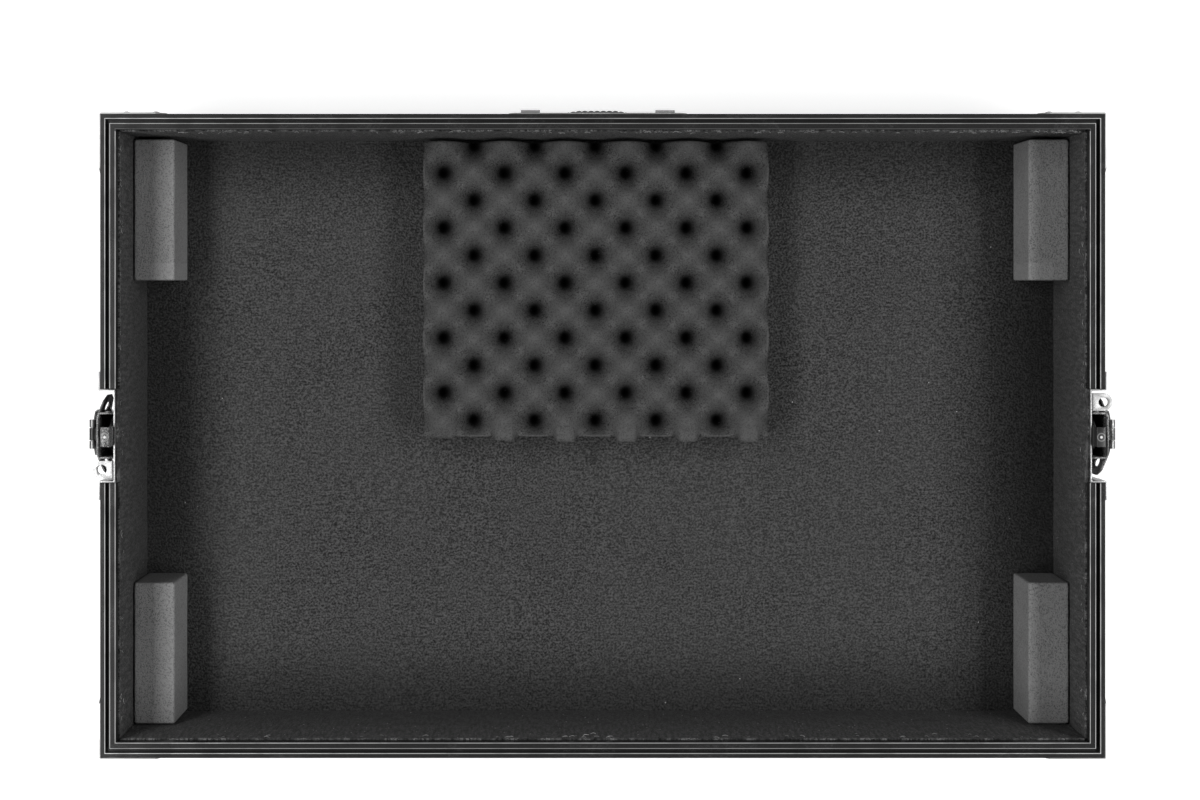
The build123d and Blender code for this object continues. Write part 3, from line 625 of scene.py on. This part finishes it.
def clothe_nodes():
    """Give every CAD node the material of its slot."""
    for name, node in frame["nodes"].items():
        node.data.materials.clear()
        node.data.materials.append(MATERIALS[SLOTS[name]])


# Foam
def peak_wave(value, axis):
    """1 in line with the peaks and -1 halfway between them, along one axis."""
    return math.cos(2 * math.pi * (value - PEAK_FIRST[axis]) / PEAK_PITCH[axis])


def pad_height(x, y):
    """Height of the egg crate's surface over its pits, from 0 in a pit to 1 on a peak."""
    return ((1 + peak_wave(x, 0) * peak_wave(y, 1)) / 2) ** PEAK_SHARPNESS


def front_tab(x, left):
    """How far the front row of peaks stands out at x, from 0 to 1, less at the left end."""
    return min(1.0, max(0.0, (peak_wave(x, 0) - 0.35) / 0.3)) * min(1.0, 0.25 + (x - left) / 0.11)


def egg_crate():
    """The convoluted pad, a little uneven, whose front row of peaks leans out."""
    low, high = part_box("egg_crate_pad")
    margin = 0.0004
    lower = (low.x + margin, low.y + margin, low.z)
    upper = (high.x - margin, high.y - margin, low.z + 0.01)
    slab = grid_slab(lower, upper, 0.0015)
    middle = low.z + 0.005
    tab_depth = 0.009
    tab_height = 0.95
    lean = 0.0034

    def shape(co):
        if co.z < middle:
            return (0, 0, 0)
        height = pad_height(co.x, co.y)
        tab = front_tab(co.x, low.x) * max(0.0, 1 - (co.y - low.y) / tab_depth)
        height += (tab_height - height) * min(1.0, tab)
        uneven = 0.0006 * roughness_at(co, 0.02) + 0.00035 * roughness_at(co, 0.0035)
        leaning = -lean * tab if co.y < low.y + 0.001 else 0
        return (0, leaning, low.z + PIT_FLOOR + PAD_RISE * height + uneven - co.z)

    moved(slab, shape)
    bpy.ops.object.shade_smooth()
    piece = dressed(slab, "egg_crate_foam", "case", "black_foam", MATERIALS["black_foam"], "egg_crate_pad")


def foam_block(corner, seed):
    """A sawn block with soft edges and slightly wavy faces."""
    node = corner + "_foam_block"
    low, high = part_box(node)
    margin = 0.0003
    low = low + Vector((margin, margin, 0))
    high = high - Vector((margin, margin, 0.0004))
    middle = (low + high) / 2
    bpy.ops.mesh.primitive_cube_add(size=1, location=middle)
    block = bpy.context.active_object
    block.scale = high - low
    settle(block)
    apply_modifier(block, "BEVEL", width=0.0009, segments=2)
    apply_modifier(block, "REMESH", mode="VOXEL", voxel_size=0.0013)
    bottom = low.z + 0.001

    def shape(co):
        if co.z < bottom:
            return (0, 0, 0)
        inward = (Vector((middle.x, middle.y, co.z)) - co) * 0.012
        wave = 0.0005 * roughness_at(co, 0.03, seed) + 0.00022 * roughness_at(co, 0.004, seed)
        return (inward.x * (0.5 + wave * 900), inward.y * 0.3, wave - 0.0005)

    moved(block, shape)
    focus(block)
    bpy.ops.object.shade_smooth()
    piece = dressed(block, corner + "_sawn_block", "case", "grey_foam", MATERIALS["grey_foam"], node)


# Felt
def floor_felt():
    """The floor's felt, whose top is slightly uneven."""
    low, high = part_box("floor_lining")
    margin = 0.0002
    lower = (low.x + margin, low.y + margin, low.z)
    upper = (high.x - margin, high.y - margin, high.z - 0.0004)
    slab = grid_slab(lower, upper, 0.004)
    top = high.z - 0.001

    def shape(co):
        lift = 0.00035 * roughness_at(co, 0.05) + 0.0002 * roughness_at(co, 0.009)
        return (0, 0, lift if co.z > top else 0)

    moved(slab, shape)
    focus(slab)
    smooth_below(40)
    dressed(slab, "floor_felt", "case", "felt", MATERIALS["felt"], "floor_lining")


def wall_sheet(length, low, high, inner, across, sign):
    """A felt sheet standing on one wall, from its inner face outwards."""
    columns = round(length / WALL_PITCH)
    rows = max(2, round((high - low) / WALL_PITCH))
    bpy.ops.mesh.primitive_grid_add(x_subdivisions=columns, y_subdivisions=rows, size=1)
    sheet = bpy.context.active_object
    sheet.scale = (length, high - low, 1)
    settle(sheet)
    middle = (low + high) / 2
    for vertex in sheet.data.vertices:
        run, rise, _ = vertex.co
        slow = roughness_at((run, rise + sign, across), 0.012)
        fine = roughness_at((run, rise, sign), 0.004)
        away = sign * (inner + 0.0005 + 0.0003 * (slow + 0.9 * fine))
        rise += middle
        if rise > high - 0.001:
            rise += 0.0007 * roughness_at((run, sign, 0), 0.003) - 0.0004
        vertex.co = (away, run, rise) if across else (run, away, rise)
    apply_modifier(sheet, "SOLIDIFY", thickness=FELT_THICKNESS, offset=0, use_even_offset=False)
    push = 0.00045 * sign
    moved(sheet, lambda co: (push, 0, 0) if across else (0, push, 0))
    return sheet


def wall_felt():
    """The walls' felt: a sheet on each wall, and a narrow one up behind each latch's dish."""
    sheets = []
    for sign in (-1, 1):
        sheets.append(wall_sheet(2 * TRAY_X, LINING_Z, WALL_FELT_TOP, TRAY_Y, False, sign))
        sheets.append(wall_sheet(2 * TRAY_Y, LINING_Z, WALL_FELT_TOP, TRAY_X, True, sign))
        sheets.append(wall_sheet(RECESS_WIDTH, WALL_FELT_TOP - 0.001, RIM_Z - 0.0018, TRAY_X, True, sign))
    walls = joined(sheets)
    for vertex in walls.data.vertices:
        if abs(vertex.co.y) < RECESS_WIDTH / 2 + 0.001 and abs(vertex.co.x) > DISH_BACK_X:
            vertex.co.x = math.copysign(DISH_BACK_X, vertex.co.x)
    enter_edit()
    face_outwards()
    smooth_below(40)
    dressed(walls, "wall_felt", "case", "felt", MATERIALS["wall_felt"], "wall_lining")


def thread():
    """One curled fibre, about 4 mm long, along X."""
    along_x = (0, math.pi / 2, 0)
    bpy.ops.mesh.primitive_cylinder_add(vertices=4, radius=0.00016, depth=0.004, rotation=along_x)
    fibre = bpy.context.active_object
    settle(fibre)
    cut_across(fibre, 5)
    moved(fibre, lambda co: (0, 0.0007 * math.cos(700 * co.x), 0.0004 * math.sin(900 * co.x)))
    return fibre


def lint():
    """Loose pale fibres caught along the top of the wall felt, most of them at the rear right."""
    first = thread()
    fibres = []
    for _ in range(LINT_COUNT):
        wall = random.choice(("rear", "rear", "rear", "front", "left", "right"))
        run = random.uniform(-1, 1) if wall != "rear" else 1 - 1.9 * random.random() ** 1.6
        off = random.uniform(0.0002, 0.0009)
        z = WALL_FELT_TOP - 0.0105 * random.random() ** 2.2 - 0.0008
        turn = [random.uniform(-0.5, 0.5), random.uniform(-0.6, 0.6), random.uniform(-0.12, 0.12)]
        side = 1 if wall in ("rear", "right") else -1
        if wall in ("rear", "front"):
            at = (run * 0.345, side * (TRAY_Y - off), z)
        else:
            at = (side * (TRAY_X - off), run * 0.215, z)
            turn[2] += math.pi / 2
        fibre = bpy.data.objects.new("fibre", first.data.copy())
        bpy.context.scene.collection.objects.link(fibre)
        fibre.location = at
        fibre.rotation_euler = turn
        fibre.scale = [random.uniform(0.4, 1.1)] * 3
        fibres.append(fibre)
    bpy.data.objects.remove(first)
    piece = joined(fibres)
    settle(piece)
    bpy.ops.object.shade_smooth()
    dressed(piece, "felt_lint", "case", "felt", MATERIALS["lint"])


# Hard pieces
def eased(node, width, finish=None):
    """A copy of a CAD node as one clean mesh, with its sharp edges broken by a bevel."""
    source = frame["nodes"][node]
    piece = bpy.data.objects.new(node + "_eased", source.data.copy())
    bpy.context.scene.collection.objects.link(piece)
    focus(piece)
    enter_edit()
    bpy.ops.mesh.select_all(action="SELECT")
    bpy.ops.mesh.remove_doubles(threshold=0.000005)
    bpy.ops.mesh.dissolve_limited(angle_limit=math.radians(0.5))
    leave_edit()
    bevel_sharp(piece, width, 2, 40)
    smooth_below(35)
    slot = SLOTS[node]
    dressed(piece, node + "_finished", BODY_OF[node], slot, MATERIALS[finish or slot], node)


EASED_LATCH = {
    "latch_dish": 0.00025,
    "latch_cover": 0.0004,
    "latch_cage": 0.0003,
    "latch_wing": 0.0004,
    "latch_hook": 0.0003,
    "padlock_eye": 0.0004,
}
EASED_CORNER = {"brace": 0.0003, "ball_corner": 0.0003}


def eased_fittings():
    """The latches, corners and handle dish with broken edges."""
    for side in ("left", "right"):
        for part, width in EASED_LATCH.items():
            eased(f"{side}_{part}", width)
        eased(f"{side}_latch_cam", 0.0002, "shaded_steel")
        for end in ("front", "rear"):
            for part, width in EASED_CORNER.items():
                eased(f"{side}_{end}_{part}", width)
    eased("handle_dish", 0.0003)


def spring(middle):
    """One torsion spring: round wire wound about the handle's axis, its ends closed."""
    length = SPRING_TURNS * SPRING_PITCH
    steps = 20 * SPRING_TURNS
    bpy.ops.mesh.primitive_circle_add(vertices=10, radius=SPRING_WIRE, location=(0, SPRING_RADIUS, 0))
    coil = bpy.context.active_object
    settle(coil)
    apply_modifier(
        coil, "SCREW", axis="X", angle=2 * math.pi * SPRING_TURNS, screw_offset=length, steps=steps,
        render_steps=steps, use_merge_vertices=False,
    )
    pick(coil, "EDGE", lambda edge: True)
    bpy.ops.mesh.fill_holes(sides=0)
    face_outwards()
    coil.location = (middle - length / 2, PIVOT_Y, PIVOT_Z)
    settle(coil)
    smooth_below(50)
    return coil


def handle_springs():
    """Both springs of the handle."""
    coils = joined([spring(HANDLE_X + side * SPRING_MIDDLE) for side in (-1, 1)])
    dressed(coils, "handle_coils", "case", "zinc_steel", MATERIALS["zinc_steel"], "handle_springs")


def grip_radius(x):
    """The sleeve's radius at a distance from its middle, ribbed along its thick part."""
    taper = max(0.0, (abs(x) - 0.013) / 0.0155) ** 1.4
    ribs = (0.5 - 0.5 * math.cos(2 * math.pi * x / RIB_PITCH)) ** 3 if abs(x) < 0.0207 else 0.0
    return GRIP_THICK - GRIP_TAPER * taper - RIB_DEPTH * ribs


def ribbed_grip():
    """The moulded sleeve on the bail, ribbed round for the fingers."""
    bpy.ops.mesh.primitive_cylinder_add(
        vertices=48, radius=SLEEVE_RADIUS, depth=2 * GRIP_HALF, rotation=(0, math.pi / 2, 0),
        end_fill_type="NGON",
    )
    sleeve = bpy.context.active_object
    settle(sleeve)
    cut_across(sleeve, 110)

    def shape(co):
        scale = grip_radius(co.x) / SLEEVE_RADIUS - 1
        return (0, co.y * scale, co.z * scale)

    moved(sleeve, shape)
    bevel_sharp(sleeve, 0.0006, 3, 60)
    sleeve.location = (HANDLE_X, PIVOT_Y, GRIP_Z)
    settle(sleeve)
    smooth_below(45)
    dressed(sleeve, "ribbed_grip", "handle", "grip_rubber", MATERIALS["grip_rubber"], "handle_grip")


# Stage
def stage():
    """A white floor that glows a little, so that it stays white around the case."""
    bpy.ops.mesh.primitive_plane_add(size=14)
    floor = bpy.context.active_object
    floor.name = "studio_floor"
    material, tree, shader = new_material("studio_floor", 0.9)
    shader.inputs["Emission Color"].default_value = grey(1.0)
    shader.inputs["Emission Strength"].default_value = 0.3
    soft = add(tree, "TexNoise", {"Vector": object_place(tree), "Scale": 1.5})
    tree.links.new(mixed(tree, soft.outputs[0], grey(0.88), grey(0.92)), shader.inputs["Base Color"])
    floor.data.materials.append(material)


def softbox(name, at, power):
    """A rectangular lamp that faces the middle of the tray, unseen by the camera."""
    lamp = bpy.data.lights.new(name, "AREA")
    lamp.shape = "RECTANGLE"
    lamp.size, lamp.size_y = SOFTBOX_SIZE
    lamp.energy = power
    item = bpy.data.objects.new(name, lamp)
    bpy.context.scene.collection.objects.link(item)
    item.location = at
    item.rotation_euler = (Vector((0, at[1], 0.05)) - Vector(at)).to_track_quat("-Z", "Y").to_euler()
    item.visible_camera = False


def studio():
    """The floor, two softboxes, a dim even surround and the camera."""
    stage()
    softbox("left_softbox", (-0.90, -0.05, 1.25), 25)
    softbox("right_softbox", (1.05, -0.05, 1.18), 23)
    world = bpy.data.worlds.new("studio")
    bpy.context.scene.world = world
    world.use_nodes = True
    background = world.node_tree.nodes["Background"]
    background.inputs["Color"].default_value = grey(0.9)
    background.inputs["Strength"].default_value = 0.12
    bpy.context.scene.view_settings.view_transform = "Standard"
    data = bpy.data.cameras.new("camera")
    data.lens = CAMERA_LENS
    data.sensor_width = 36.0
    data.shift_x, data.shift_y = CAMERA_SHIFT
    camera = bpy.data.objects.new("camera", data)
    bpy.context.scene.collection.objects.link(camera)
    camera.location = CAMERA_AT
    bpy.context.scene.camera = camera


random.seed(7)
clothe_nodes()
egg_crate()
for number, corner in enumerate(("left_rear", "right_rear", "left_front", "right_front")):
    foam_block(corner, 3.1 + 5.7 * number)
floor_felt()
wall_felt()
lint()
eased_fittings()
handle_springs()
ribbed_grip()
studio()
